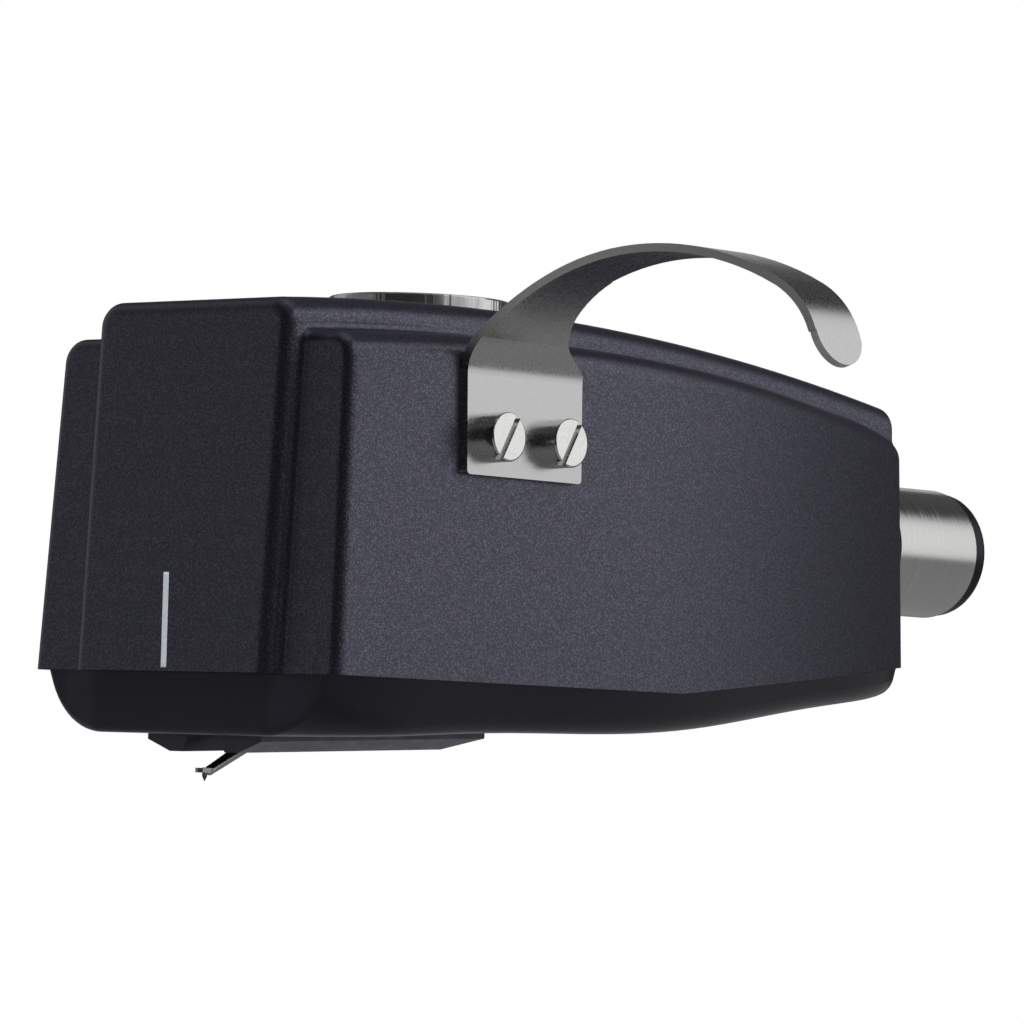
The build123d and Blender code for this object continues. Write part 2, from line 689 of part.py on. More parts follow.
def make_lift_screws():
    screws = []
    for frame in lift_screw_frames():
        head = Pos(0, 0, LIFT_THICKNESS) * slotted_head(
            LIFT_SCREW_HEAD_R, LIFT_SCREW_HEAD, -LIFT_SLOT_LEAN_DEG
        )
        shank = drill(LIFT_SCREW_R, LIFT_THICKNESS - LIFT_SCREW_LENGTH, LIFT_THICKNESS)
        screws.append(frame * (head + shank))
    return Compound(children=screws)


RAKE = radians(RAKE_DEG)
PIVOT = (-PIVOT_X, 0, -PIVOT_DROP)
GENERATOR = Plane(PIVOT, x_dir=(cos(RAKE), 0, sin(RAKE)), z_dir=(-sin(RAKE), 0, cos(RAKE))).location
FRONT_YOKE_REAR = -FRONT_YOKE_SETBACK
REAR_YOKE_FRONT = FRONT_YOKE_REAR + YOKE_GAP
REAR_YOKE_REAR = REAR_YOKE_FRONT + YOKE_THICKNESS


def block_bottom(x):
    """Height of the stylus block's underside at x."""
    return -BLOCK_BOTTOM + (x + BLOCK_FRONT) * COVER_TILT


def make_stylus_block():
    front = -BLOCK_FRONT
    rear = -BLOCK_REAR
    profile = Polyline(
        (front, block_bottom(front)),
        (rear, block_bottom(rear)),
        (rear, -BLOCK_TOP),
        (front, -BLOCK_TOP),
        close=True,
    )
    block = extrude(Plane.XZ * make_face(profile), amount=BLOCK_HALF_WIDTH, both=True)
    bottom = block.faces().sort_by(Axis.Z)[0]
    bevelled = [edge for edge in bottom.edges() if edge.center().X > front + OVER]
    block = chamfer(bevelled, BLOCK_BEVEL_WIDTH, BLOCK_BEVEL_HEIGHT, reference=bottom)
    for side in (-1, 1):
        inner = side * (BLOCK_HALF_WIDTH - OVER / 2)
        outer = side * (BLOCK_HALF_WIDTH + EAR_REACH)
        block += span_box(
            -EAR_X - EAR_LENGTH / 2,
            -EAR_X + EAR_LENGTH / 2,
            min(inner, outer),
            max(inner, outer),
            -BLOCK_TOP - EAR_THICKNESS,
            -BLOCK_TOP,
        )
    reach = BLOCK_BOTTOM + YOKE_ABOVE
    block -= GENERATOR * span_box(
        FRONT_YOKE_REAR - YOKE_THICKNESS - FIT,
        REAR_YOKE_REAR + FIT,
        -YOKE_HALF_WIDTH - FIT,
        YOKE_HALF_WIDTH + FIT,
        -YOKE_BELOW,
        reach,
    )
    floor = block_bottom(front)
    arch_z = floor + FORK_HEIGHT - FORK_TOP_HALF_WIDTH
    arch = ThreePointArc(
        (FORK_TOP_HALF_WIDTH, arch_z), (0, floor + FORK_HEIGHT), (-FORK_TOP_HALF_WIDTH, arch_z)
    )
    sides = Polyline(
        (-FORK_TOP_HALF_WIDTH, arch_z),
        (-FORK_HALF_WIDTH, floor),
        (-FORK_HALF_WIDTH, floor - OVER),
        (FORK_HALF_WIDTH, floor - OVER),
        (FORK_HALF_WIDTH, floor),
        (FORK_TOP_HALF_WIDTH, arch_z),
    )
    mouth = Plane.YZ * make_face([*arch.edges(), *sides.edges()])
    fork = extrude(mouth, amount=BLOCK_FRONT - PIVOT_X + OVER, dir=(1, 0, 0))
    block -= Pos(front - OVER, 0, 0) * fork
    for x, y in PILLAR_PLACES:
        block -= post(x, y, -BLOCK_BOTTOM, 0, GENERATOR_SCREW_R + 2 * FIT)
    for y in terminal_places():
        block -= rod(rear - TERMINAL_SEAT, rear + OVER, TERMINAL_R + FIT, y, -TERMINAL_DROP)
    return block


def make_generator_screws():
    screws = []
    for x, y in PILLAR_PLACES:
        seat = -BLOCK_TOP - EAR_THICKNESS
        head = Location((x, y, seat), (180, 0, 0)) * slotted_head(
            GENERATOR_SCREW_HEAD_R, GENERATOR_SCREW_HEAD, 0
        )
        screws.append(head + post(x, y, seat, seat + GENERATOR_SCREW_LENGTH, GENERATOR_SCREW_R))
    return Compound(children=screws)


def make_front_yoke():
    plate = span_box(
        FRONT_YOKE_REAR - YOKE_THICKNESS,
        FRONT_YOKE_REAR,
        -YOKE_HALF_WIDTH,
        YOKE_HALF_WIDTH,
        -YOKE_BELOW,
        YOKE_ABOVE,
    )
    hole = rod(FRONT_YOKE_REAR - YOKE_THICKNESS - OVER, FRONT_YOKE_REAR + OVER, FRONT_YOKE_HOLE_R)
    return GENERATOR * (plate - hole)


def make_rear_yoke():
    plate = span_box(
        REAR_YOKE_FRONT, REAR_YOKE_REAR, -YOKE_HALF_WIDTH, YOKE_HALF_WIDTH, -YOKE_BELOW, YOKE_ABOVE
    )
    middle = (REAR_YOKE_FRONT + REAR_YOKE_REAR) / 2
    hole = rod(REAR_YOKE_FRONT - OVER, REAR_YOKE_REAR + OVER, POLE_PIN_R + FIT)
    tapped = post(middle, 0, 0, YOKE_ABOVE + OVER, GRUB_R + FIT)
    return GENERATOR * (plate - hole - tapped)


def make_magnet():
    return GENERATOR * span_box(
        FRONT_YOKE_REAR,
        REAR_YOKE_FRONT,
        -YOKE_HALF_WIDTH,
        YOKE_HALF_WIDTH,
        YOKE_ABOVE - MAGNET_HEIGHT,
        YOKE_ABOVE,
    )


def make_pole_pin():
    pin = rod(POLE_PIN_FRONT, REAR_YOKE_REAR, POLE_PIN_R)
    return GENERATOR * (pin - rod(POLE_PIN_FRONT - OVER, REAR_YOKE_REAR + OVER, WIRE_R + FIT))


def make_pole_pin_screw():
    middle = (REAR_YOKE_FRONT + REAR_YOKE_REAR) / 2
    screw = post(middle, 0, POLE_PIN_R + FIT, YOKE_ABOVE - FIT, GRUB_R)
    slot = Pos(middle, 0, YOKE_ABOVE) * Box(3 * GRUB_R, GRUB_R / 2, GRUB_R)
    return GENERATOR * (screw - slot)


COIL_HALF = ARM_SECTION / 2 + FIT + COIL_BUILD
HUB_FRONT = ARM_CENTRE - HUB_LENGTH / 2
DAMPER_FRONT = ARM_CENTRE + COIL_HALF + DAMPER_GAP


def make_tie_wire():
    return GENERATOR * rod(ARM_CENTRE, REAR_YOKE_REAR, WIRE_R)


def make_damper_ring():
    rear = DAMPER_FRONT + DAMPER_LENGTH
    ring = rod(DAMPER_FRONT, rear, DAMPER_R)
    return GENERATOR * (ring - rod(DAMPER_FRONT - OVER, rear + OVER, DAMPER_HOLE_R))


def coil_arm(turn):
    """Frame whose z axis runs out along one arm of the coil former."""
    return GENERATOR * Pos(ARM_CENTRE, 0, 0) * Rot(turn, 0, 0)


def make_coil_former():
    former = GENERATOR * rod(HUB_FRONT, HUB_FRONT + HUB_LENGTH, HUB_R)
    half = ARM_SECTION / 2
    for turn in (45, 135, 225, 315):
        former += coil_arm(turn) * span_box(-half, half, -half, half, 0, ARM_REACH)
    return former - GENERATOR * rod(ARM_CENTRE - WIRE_SWING, OVER, WIRE_R + WIRE_SWING)


def make_coil(turns):
    """Two square windings on opposite arms."""
    inner = ARM_SECTION / 2 + FIT
    windings = []
    for turn in turns:
        end = COIL_START + COIL_LENGTH
        outside = span_box(-COIL_HALF, COIL_HALF, -COIL_HALF, COIL_HALF, COIL_START, end)
        outside = fillet(outside.edges().filter_by(Axis.Z), COIL_BUILD / 2)
        bore = span_box(-inner, inner, -inner, inner, COIL_START - OVER, end + OVER)
        windings.append(coil_arm(turn) * (outside - bore))
    return Compound(children=windings)


def bend_point():
    """Where the cantilever's flattened tip turns level."""
    return (-PIVOT_X - CANTILEVER_LENGTH * cos(RAKE), -PIVOT_DROP - CANTILEVER_LENGTH * sin(RAKE))


def stylus_prism(side):
    """The diamond: a square shank with a four-sided point, standing in the paddle."""
    x, z = bend_point()
    x -= STYLUS_SETBACK * PADDLE_LENGTH
    top = z + PADDLE_THICKNESS / 2 + FIT
    shank_end = top - STYLUS_LENGTH + STYLUS_POINT
    shank = span_box(x - side / 2, x + side / 2, -side / 2, side / 2, shank_end, top)
    point = loft(
        [
            Pos(x, 0, shank_end) * Rectangle(side, side),
            Pos(x, 0, top - STYLUS_LENGTH) * Rectangle(STYLUS_POINT_SIDE, STYLUS_POINT_SIDE),
        ]
    )
    return shank + point


def make_cantilever():
    length = CANTILEVER_LENGTH + HUB_FRONT
    centred = (Align.CENTER, Align.CENTER, Align.MIN)
    forward = GENERATOR * Location((HUB_FRONT, 0, 0), (0, -90, 0))
    tube = forward * Cone(CANTILEVER_ROOT_R, CANTILEVER_TIP_R, length, align=centred)
    root_bore = CANTILEVER_ROOT_R - CANTILEVER_WALL
    tip_bore = CANTILEVER_TIP_R - CANTILEVER_WALL
    bore = forward * Cone(root_bore, tip_bore, length - CANTILEVER_SOLID_END, align=centred)
    x, z = bend_point()
    tip = x - PADDLE_LENGTH
    paddle = span_box(
        tip, x, -PADDLE_WIDTH / 2, PADDLE_WIDTH / 2, z - PADDLE_THICKNESS / 2, z + PADDLE_THICKNESS / 2
    )
    paddle = fillet(
        [edge for edge in paddle.edges().filter_by(Axis.Z) if edge.center().X < x - PADDLE_LENGTH / 2],
        PADDLE_WIDTH / 2 - FIT,
    )
    knee = Pos(x, 0, z) * Sphere(CANTILEVER_TIP_R)
    return tube + knee + paddle - bore - stylus_prism(STYLUS_SIDE)


def terminal_places():
    return [(i - 1.5) * TERMINAL_PITCH for i in range(4)]


def make_output_terminals():
    start = -BLOCK_REAR - TERMINAL_SEAT
    end = start + TERMINAL_LENGTH
    pins = [rod(start, end, TERMINAL_R, y, -TERMINAL_DROP) for y in terminal_places()]
    return Compound(children=pins)


def contact_places():
    half = CONTACT_SPACING / 2
    return [(-half, half), (-half, -half), (half, -half), (half, half)]


def make_lead(index):
    """A lead from its terminal to its contact: two level runs joined by a slanting one."""
    y0 = terminal_places()[index]
    y1, z1 = contact_places()[index]
    x0 = -BLOCK_REAR - TERMINAL_SEAT + TERMINAL_LENGTH
    x1 = -CONTACT_REACH
    points = [
        Vector(x0, y0, -TERMINAL_DROP),
        Vector(x0 + LEAD_STRAIGHT, y0, -TERMINAL_DROP),
        Vector(x1 - LEAD_STRAIGHT, y1, z1),
        Vector(x1, y1, z1),
    ]
    slant = points[2] - points[1]
    turn = radians(slant.get_angle(Vector(1, 0, 0)))
    radius = LEAD_BEND_SHARE * LEAD_STRAIGHT / tan(turn / 2)
    path = FilletPolyline(*points, radius=radius)
    section = Plane(points[0], z_dir=(1, 0, 0)) * Circle(LEAD_R)
    return sweep(section, path=path)


def make_connector_tube():
    inner = -REAR_WALL - NUT_THICKNESS
    tube = rod(0, TUBE_LENGTH, TUBE_R) + rod(-FLANGE_THICKNESS, 0, FLANGE_R)
    tube += rod(inner, -FLANGE_THICKNESS, SPIGOT_R)
    half = LOCK_RELIEF_LENGTH / 2
    relief = rod(LOCK_PIN_X - half, LOCK_PIN_X + half, TUBE_R + OVER)
    tube -= relief - rod(LOCK_PIN_X - half, LOCK_PIN_X + half, TUBE_R - LOCK_RELIEF_DEPTH)
    tube -= rod(inner - OVER, TUBE_LENGTH + OVER, TUBE_BORE_R)
    return tube - post(LOCK_PIN_X, 0, 0, TUBE_R + OVER, LOCK_PIN_R + FIT)


def make_connector_nut():
    front = -REAR_WALL - NUT_THICKNESS
    nut = rod(front, -REAR_WALL, NUT_R) - rod(front - OVER, OVER, SPIGOT_R + FIT)
    slot_depth = NUT_THICKNESS / 2
    return nut - span_box(front - OVER, front + slot_depth, -NUT_R, NUT_R, -NUT_SLOT / 2, NUT_SLOT / 2)


def make_connector_insulator():
    plug = rod(-INSULATOR_REACH, TUBE_LENGTH, INSULATOR_R)
    ring = rod(TUBE_LENGTH, TUBE_LENGTH + END_RING, END_RING_R)
    ring = fillet(ring.faces().sort_by(Axis.X)[-1].edges(), END_RING_ROUND)
    plug += ring
    for y, z in contact_places():
        plug -= rod(-INSULATOR_REACH - OVER, TUBE_LENGTH + END_RING + OVER, CONTACT_R + FIT, y, z)
    return plug


def make_contact_pins():
    pins = []
    for y, z in contact_places():
        pin = rod(-CONTACT_REACH, TUBE_LENGTH + END_RING + CONTACT_PROUD, CONTACT_R, y, z)
        pins.append(fillet(pin.faces().sort_by(Axis.X)[-1].edges(), CONTACT_ROUND))
    return Compound(children=pins)


def make_locking_pin():
    pin = post(LOCK_PIN_X, 0, INSULATOR_R + FIT, LOCK_PIN_TOP, LOCK_PIN_R)
    return fillet(pin.faces().sort_by(Axis.Z)[-1].edges(), CONTACT_ROUND)


def make_gasket():
    return rod(0, GASKET_THICKNESS, GASKET_R) - rod(-OVER, GASKET_THICKNESS + OVER, TUBE_R + FIT)


NODES = {
    "shell": make_shell(),
    "bottom_cover": make_bottom_cover(),
    "cover_screw": make_cover_screw(),
    "top_disc": make_top_disc(),
    "finger_lift": make_finger_lift(),
    "finger_lift_screws": make_lift_screws(),
    "stylus_block": make_stylus_block(),
    "generator_screws": make_generator_screws(),
    "front_yoke": make_front_yoke(),
    "rear_yoke": make_rear_yoke(),
    "magnet": make_magnet(),
    "pole_pin": make_pole_pin(),
    "pole_pin_screw": make_pole_pin_screw(),
    "tie_wire": make_tie_wire(),
    "damper_ring": make_damper_ring(),
    "coil_former": make_coil_former(),
    "left_coil": make_coil((45, 225)),
    "right_coil": make_coil((135, 315)),
    "cantilever": make_cantilever(),
    "stylus_tip": stylus_prism(STYLUS_SIDE),
    "output_terminals": make_output_terminals(),
    "lead_white": make_lead(0),
    "lead_blue": make_lead(1),
    "lead_green": make_lead(2),
    "lead_red": make_lead(3),
    "connector_tube": make_connector_tube(),
    "connector_nut": make_connector_nut(),
    "connector_insulator": make_connector_insulator(),
    "contact_pins": make_contact_pins(),
    "locking_pin": make_locking_pin(),
    "gasket": make_gasket(),
}

for node, shape in NODES.items():
    export_step(shape, f"parts/{node}.step")
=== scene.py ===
# %% [markdown]
# # A pickup head in a small product studio
# The object is a record player's pickup: a long dark shell that carries a tiny electrical
# generator under its nose, a bent steel strip to lift it with, and a plug at its rear. Its solids
# come ready made, so this lesson gives them their finishes, adds the painted mark on the nose, and
# sets up the camera and the light. Lengths are metres, and the origin is where the plug leaves the
# shell: +X runs to the rear, the lift stands on the -Y side and +Z is up.

# %% Load the solids
from math import cos, radians, sin, tan

import bpy
import numpy as np
from mathutils import Matrix, Vector


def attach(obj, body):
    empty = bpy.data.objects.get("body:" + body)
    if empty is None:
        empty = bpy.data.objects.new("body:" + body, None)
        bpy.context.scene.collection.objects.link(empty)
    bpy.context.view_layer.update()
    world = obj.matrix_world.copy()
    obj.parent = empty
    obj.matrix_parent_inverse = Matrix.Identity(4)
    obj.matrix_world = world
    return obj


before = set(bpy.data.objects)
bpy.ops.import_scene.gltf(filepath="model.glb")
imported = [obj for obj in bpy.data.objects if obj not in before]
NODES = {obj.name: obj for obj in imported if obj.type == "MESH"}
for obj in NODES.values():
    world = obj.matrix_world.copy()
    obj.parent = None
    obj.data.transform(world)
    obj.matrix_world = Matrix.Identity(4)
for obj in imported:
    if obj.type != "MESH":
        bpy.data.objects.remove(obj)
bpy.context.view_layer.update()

MM = 0.001

# %% [markdown]
# ## Camera
# A long lens from a little below the shell's middle keeps its long edges almost parallel. The place
# and the small roll were worked out from the tube's width and the shell's corners. A camera could
# be aimed with a constraint, but a matrix built from its own right, up and back directions states
# the roll as well, and nothing is left to be worked out later.

# %% The photographer's camera
CAMERA_PLACE = Vector((-285.22, -232.16, -15.99)) * MM
CAMERA_AZIMUTH = radians(-48.0)
CAMERA_ELEVATION = radians(-2.7)
CAMERA_ROLL = 0.035
SENSOR_MM = 36.0
FOCAL_SHARE = 6000 / 1024
NEAREST = 0.01


def camera_matrix(place, azimuth, elevation, roll):
    """World matrix of a camera: back from azimuth and elevation, right level, and right and up then
    rolled about back."""
    back = Vector((sin(azimuth) * cos(elevation), -cos(azimuth) * cos(elevation), sin(elevation)))
    right = (-back).cross(Vector((0, 0, 1))).normalized()
    up = back.cross(right)
    rolled_right = cos(roll) * right + sin(roll) * up
    rolled_up = cos(roll) * up - sin(roll) * right
    turn = Matrix((rolled_right, rolled_up, back)).transposed()
    return Matrix.Translation(place) @ turn.to_4x4()


camera_data = bpy.data.cameras.new("camera")
camera_data.sensor_width = SENSOR_MM
camera_data.lens = SENSOR_MM * FOCAL_SHARE
camera_data.clip_start = NEAREST
camera = bpy.data.objects.new("camera", camera_data)
bpy.context.scene.collection.objects.link(camera)
camera.matrix_world = camera_matrix(CAMERA_PLACE, CAMERA_AZIMUTH, CAMERA_ELEVATION, CAMERA_ROLL)
bpy.context.scene.camera = camera
print("lens:", round(camera_data.lens, 1), "mm")

# %% [markdown]
# ## Surfaces from numbers
# A new piece is a grid of points worked out as whole arrays. The same small helper turns any such
# grid into a mesh at the origin, so that its place is in its points.


# %% Grid to mesh
def grid_faces(rows, columns):
    """Quads of a grid: each joins a point, the next in its row, and the two above them."""
    first = (np.arange(rows - 1)[:, None] * columns + np.arange(columns - 1)[None, :]).ravel()
    return np.stack([first, first + 1, first + columns + 1, first + columns], axis=1)


def surface(name, points):
    """A smooth mesh object from points of shape rows by columns by 3."""
    rows, columns = points.shape[:2]
    mesh = bpy.data.meshes.new(name)
    mesh.from_pydata(points.reshape(-1, 3).tolist(), [], grid_faces(rows, columns).tolist())
    mesh.polygons.foreach_set("use_smooth", np.full(len(mesh.polygons), True))
    mesh.update()
    piece = bpy.data.objects.new(name, mesh)
    bpy.context.scene.collection.objects.link(piece)
    return piece


# %% [markdown]
# ## Studio tent
# The object is almost black, so what shows is what it mirrors. A dim tent stands round it, with a
# large soft panel on the right, a weaker one on the left, and some above and behind for the other
# sides. A ring of lamps could do the same, but the straight edges of a panel are what draws the
# crisp bands on a steel tube, and a panel's strength is a plain function of direction. The camera
# looks through the tent to a plain white background.


# %% Shader helpers
def new_material(name):
    """An empty node material with its output."""
    material = bpy.data.materials.new(name)
    material.use_nodes = True
    material.node_tree.nodes.clear()
    output = material.node_tree.nodes.new("ShaderNodeOutputMaterial")
    return material, material.node_tree, output


def add(tree, kind, **inputs):
    """A node of that kind, with its inputs set by name. Spaces in names are written as _."""
    node = tree.nodes.new("ShaderNode" + kind)
    for name, value in inputs.items():
        node.inputs[name.replace("_", " ")].default_value = value
    return node


def join(tree, source, target):
    tree.links.new(source, target)


def figured(tree, operation, *values):
    """A sum done on one to three values, each a socket or a number."""
    node = add(tree, "Math")
    node.operation = operation
    for socket, value in zip(node.inputs, values):
        if hasattr(value, "is_output"):
            join(tree, value, socket)
        else:
            socket.default_value = value
    return node.outputs["Value"]


def weighed(tree, first, first_share, second, second_share):
    """The sum of two values, each times its share."""
    part = figured(tree, "MULTIPLY", first, first_share)
    return figured(tree, "ADD", part, figured(tree, "MULTIPLY", second, second_share))


# %% Tent of soft panels
TENT_RADIUS = 0.45
TENT_MIDDLE_X = -25 * MM
TENT_GREY = 0.02
TENT_ROWS, TENT_COLUMNS = 33, 65
POLE_GAP = 0.001
# Each panel, in degrees: azimuth from +X and elevation of its middle, its half width, half height
# and roll, the softness of its edges, and then its strength
PANELS = {
    "right": (-61.0, 27.5, 38.0, 24.0, 18.4, 4.0, 1.15),
    "left": (138.0, 2.0, 15.0, 18.0, 0.0, 8.0, 0.24),
    "rear": (30.0, 20.0, 40.0, 30.0, 0.0, 20.0, 0.07),
    "far": (100.0, 20.0, 18.0, 28.0, 0.0, 10.0, 0.45),
    "top": (90.0, 84.0, 180.0, 22.0, 0.0, 12.0, 0.5),
    "near": (245.0, 28.0, 9.0, 12.0, 0.0, 5.0, 0.3),
    "strip": (159.0, 5.0, 8.0, 16.0, 0.0, 4.0, 0.26),
    "back": (37.0, 16.0, 9.0, 7.0, 0.0, 3.0, 0.45),
}


def sphere_points(radius, middle, rows, columns):
    """Points of a sphere about a point on the X axis: rows by polar angle, columns by azimuth."""
    polar = np.linspace(POLE_GAP, np.pi - POLE_GAP, rows)[:, None]
    turn = np.linspace(0, 2 * np.pi, columns)[None, :]
    flat = radius * np.sin(polar)
    parts = [middle + flat * np.cos(turn), flat * np.sin(turn), radius * np.cos(polar) + 0 * turn]
    return np.stack(parts, axis=-1)


def edge_fade(tree, angle, half, soft):
    """1 where the angle is inside the half width, 0 past the soft edge, and smooth between."""
    fade = add(tree, "MapRange", To_Min=1.0, To_Max=0.0)
    fade.interpolation_type = "SMOOTHSTEP"
    fade.inputs["From Min"].default_value = radians(half - soft)
    fade.inputs["From Max"].default_value = radians(half + soft)
    join(tree, figured(tree, "ABSOLUTE", angle), fade.inputs["Value"])
    return fade.outputs["Result"]


def panel_light(tree, where, panel):
    """Strength of a panel by direction: the product of its fades in azimuth and in elevation, both
    taken along the sides of the rolled panel."""
    azimuth, elevation, half_width, half_height, roll, soft, strength = panel
    turned = add(tree, "Mapping", Rotation=(0, 0, -radians(azimuth)))
    join(tree, where, turned.inputs["Vector"])
    part = add(tree, "SeparateXYZ")
    join(tree, turned.outputs["Vector"], part.inputs["Vector"])
    round_by = figured(tree, "ARCTAN2", part.outputs["Y"], part.outputs["X"])
    height = figured(tree, "ARCSINE", part.outputs["Z"])
    rise = figured(tree, "SUBTRACT", height, radians(elevation))
    level, tilt = cos(radians(roll)), sin(radians(roll))
    wide = weighed(tree, round_by, level, rise, -tilt)
    high = weighed(tree, round_by, tilt, rise, level)
    across = edge_fade(tree, wide, half_width, soft)
    upright = edge_fade(tree, high, half_height, soft)
    return figured(tree, "MULTIPLY", figured(tree, "MULTIPLY", across, upright), strength)


def tent_material():
    material, tree, output = new_material("tent_cloth")
    place = add(tree, "TexCoord")
    centred = add(tree, "Mapping", Location=(-TENT_MIDDLE_X, 0, 0))
    join(tree, place.outputs["Object"], centred.inputs["Vector"])
    unit = add(tree, "VectorMath")
    unit.operation = "NORMALIZE"
    join(tree, centred.outputs["Vector"], unit.inputs[0])
    total = TENT_GREY
    for panel in PANELS.values():
        total = figured(tree, "ADD", panel_light(tree, unit.outputs["Vector"], panel), total)
    glow = add(tree, "Emission", Color=(1, 1, 1, 1))
    join(tree, total, glow.inputs["Strength"])
    join(tree, glow.outputs["Emission"], output.inputs["Surface"])
    material.cycles.emission_sampling = "NONE"
    return material


tent = surface("tent", sphere_points(TENT_RADIUS, TENT_MIDDLE_X, TENT_ROWS, TENT_COLUMNS))
tent.data.materials.append(tent_material())
tent.visible_camera = False
tent.visible_transmission = False
tent.visible_shadow = False
print("tent panels:", ", ".join(PANELS))

# %% [markdown]
# ## Background and floor
# The background is plain white for the camera only, so that it adds no light. The floor is a grey
# disc of paper well below the object, which its underside mirrors; for the camera a glow lifts the
# paper to a pale tone, and the object's shadow stays on it. A white floor would be simpler, but
# it would light the black underside far more than a studio table does.

# %% White background and pale floor
world = bpy.data.worlds.new("world")
bpy.context.scene.world = world
world.use_nodes = True
world.node_tree.nodes["Background"].inputs["Color"].default_value = (1, 1, 1, 1)
world.node_tree.nodes["Background"].inputs["Strength"].default_value = 1.0
world.cycles_visibility.diffuse = False
bpy.context.scene.view_settings.view_transform = "Standard"

FLOOR_HEIGHT = -50 * MM
FLOOR_RADIUS = 0.33
FLOOR_COLOUR = (0.24, 0.24, 0.24, 1)
FLOOR_GLOW = 0.72
FLOOR_ROWS, FLOOR_COLUMNS = 24, 97
MIDDLE_GAP = 1e-6


def disc_points(radius, height, rows, columns):
    """Points of a flat disc: rows from the middle out, columns round it."""
    reach = np.linspace(MIDDLE_GAP, radius, rows)[:, None]
    turn = np.linspace(0, 2 * np.pi, columns)[None, :]
    parts = [reach * np.cos(turn), reach * np.sin(turn), height + 0 * reach * turn]
    return np.stack(parts, axis=-1)


def floor_material():
    material, tree, output = new_material("floor_paper")
    paper = add(tree, "BsdfDiffuse", Color=FLOOR_COLOUR)
    glow = add(tree, "Emission", Strength=FLOOR_GLOW)
    path = add(tree, "LightPath")
    seen = add(tree, "MixShader")
    join(tree, path.outputs["Is Camera Ray"], seen.inputs["Fac"])
    both = add(tree, "AddShader")
    join(tree, paper.outputs["BSDF"], both.inputs[0])
    join(tree, glow.outputs["Emission"], both.inputs[1])
    join(tree, paper.outputs["BSDF"], seen.inputs[1])
    join(tree, both.outputs["Shader"], seen.inputs[2])
    join(tree, seen.outputs["Shader"], output.inputs["Surface"])
    return material


floor = surface("floor", disc_points(FLOOR_RADIUS, FLOOR_HEIGHT, FLOOR_ROWS, FLOOR_COLUMNS))
floor.data.materials.append(floor_material())
print("floor:", round(FLOOR_HEIGHT / MM), "mm, radius", round(FLOOR_RADIUS / MM), "mm")

# %% [markdown]
# ## Lamps
# Paint and rubber show by the light that falls on them, not by what they mirror. One large square
# lamp high in front lights the nose and its white mark, and one behind lights the far side and the
# table there, as the light on a white background would. No gloss mirrors these lamps, so that the
# tent alone draws the highlights. A sun lamp would give hard shadows.

# %% Lamps
# Each lamp: azimuth from +X and elevation in degrees, distance and width in metres, power in watts
LAMPS = {
    "front_lamp": (205, 58, 0.9, 0.6, 6.1),
    "far_lamp": (84, 50, 0.42, 0.25, 1.2),
}


def soft_lamp(name, azimuth, elevation, distance, size, energy):
    """A square lamp at that direction from the origin, facing it, that no gloss mirrors."""
    data = bpy.data.lights.new(name, "AREA")
    data.size = size
    data.energy = energy
    lamp = bpy.data.objects.new(name, data)
    turn, rise = radians(azimuth), radians(elevation)
    away = Vector((cos(rise) * cos(turn), cos(rise) * sin(turn), sin(rise)))
    lamp.location = away * distance
    lamp.rotation_euler = away.to_track_quat("Z", "Y").to_euler()
    lamp.visible_glossy = False
    bpy.context.scene.collection.objects.link(lamp)


for lamp_name, lamp_values in LAMPS.items():
    soft_lamp(lamp_name, *lamp_values)
print("lamps:", ", ".join(LAMPS))

# %% [markdown]
# ## Pattern helpers
# Every finish below is a pattern worked out from a point's place in the object, so it needs no
# unwrapping and no picture. A few small helpers name the steps: a place, a noise, a band, a range,
# a mix of two colours and a bump.


# %% Pattern helpers
def object_place(tree, scale=(1, 1, 1)):
    """Object coordinates with a scale for each axis."""
    place = add(tree, "TexCoord")
    mapping = add(tree, "Mapping", Scale=scale)
    join(tree, place.outputs["Object"], mapping.inputs["Vector"])
    return mapping.outputs["Vector"]


def noise(tree, where, scale, detail=2.0):
    """Fractal noise, about 0 to 1."""
    node = add(tree, "TexNoise", Scale=scale, Detail=detail)
    join(tree, where, node.inputs["Vector"])
    return node.outputs["Fac"]


def banded(tree, where, axis, pitch):
    """Rounded bands across the axis, 0 to 1: half of 1 plus the sine of the distance along it."""
    along = add(tree, "VectorMath")
    along.operation = "DOT_PRODUCT"
    along.inputs[1].default_value = axis
    join(tree, where, along.inputs[0])
    turns = figured(tree, "MULTIPLY", along.outputs["Value"], 2 * np.pi / pitch)
    return figured(tree, "MULTIPLY_ADD", figured(tree, "SINE", turns), 0.5, 0.5)


def ranged(tree, value, low, high, out_low, out_high):
    """The value's stretch from low to high laid over out_low to out_high, and held there."""
    node = add(tree, "MapRange", From_Min=low, From_Max=high, To_Min=out_low, To_Max=out_high)
    join(tree, value, node.inputs["Value"])
    return node.outputs["Result"]


def mixed(tree, share, first, second):
    """Colour between first and second by share."""
    node = add(tree, "Mix")
    node.data_type = "RGBA"
    node.inputs[6].default_value = first
    node.inputs[7].default_value = second
    join(tree, share, node.inputs["Factor"])
    return node.outputs[2]


def shaded(colour, by):
    """The colour made lighter or darker by a factor."""
    return tuple(min(1.0, by * part) for part in colour[:3]) + (1,)


def bumped(tree, height, strength, distance):
    """A normal tilted by the height."""
    node = add(tree, "Bump", Strength=strength, Distance=distance)
    join(tree, height, node.inputs["Height"])
    return node.outputs["Normal"]


def shader(tree, output, **inputs):
    """The surface's shader, joined to the output."""
    node = add(tree, "BsdfPrincipled", **inputs)
    join(tree, node.outputs["BSDF"], output.inputs["Surface"])
    return node


def dress(material, *names):
    """The material goes into the slots of these nodes."""
    for name in names:
        NODES[name].material_slots[0].material = material
    print(material.name, "on", ", ".join(names))


